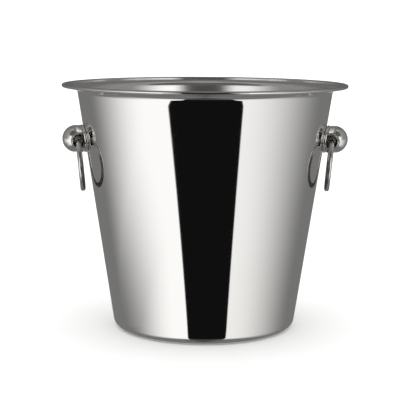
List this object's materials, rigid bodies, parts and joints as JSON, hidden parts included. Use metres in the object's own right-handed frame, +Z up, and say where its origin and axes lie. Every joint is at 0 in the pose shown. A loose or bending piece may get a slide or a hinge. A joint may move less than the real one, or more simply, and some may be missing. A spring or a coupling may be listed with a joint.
{
  "type": "champagne bucket",
  "caption": "Tapered polished silver champagne bucket with a flared, rolled rim, and on each side a ring handle hanging from a bullet-shaped boss.",
  "frame": {"origin": "middle of the base, on the surface that the bucket stands on", "axes": "+Z up along the bucket's axis, +X to the right-hand handle, which stands 11 degrees forward of it; the front is -Y"},
  "size_m": [0.22, 0.22, 0.1893],
  "materials": {
    "bucket_silver": "mirror-polished silver plate outside, satin inside",
    "handle_silver": "polished silver plate on a casting",
    "ring_silver": "polished silver plate on round wire",
    "fastener_steel": "satin stainless steel",
    "nut_silver": "bright plated",
    "seal_rubber": "matt black"
  },
  "bodies": {
    "bucket": {"bucket_shell": "bucket_silver", "left_boss": "handle_silver", "left_collar": "handle_silver", "left_seal_washer": "seal_rubber", "left_saddle_washer": "fastener_steel", "left_lock_washer": "fastener_steel", "left_cap_nut": "nut_silver", "right_boss": "handle_silver", "right_collar": "handle_silver", "right_seal_washer": "seal_rubber", "right_saddle_washer": "fastener_steel", "right_lock_washer": "fastener_steel", "right_cap_nut": "nut_silver"},
    "left_ring": {"left_ring": "ring_silver"},
    "right_ring": {"right_ring": "ring_silver"}
  },
  "joints": [
    {"name": "left_ring_swing", "type": "hinge", "parent": "bucket", "child": "left_ring", "pos_m": [-0.09649, -0.01876, 0.1465], "axis": [-0.0941, 0.9956, 0], "range_deg": [-7.5, 181]},
    {"name": "right_ring_swing", "type": "hinge", "parent": "bucket", "child": "right_ring", "pos_m": [0.09649, -0.01876, 0.1465], "axis": [-0.1288, -0.9917, 0], "range_deg": [-7.5, 181]}
  ]
}
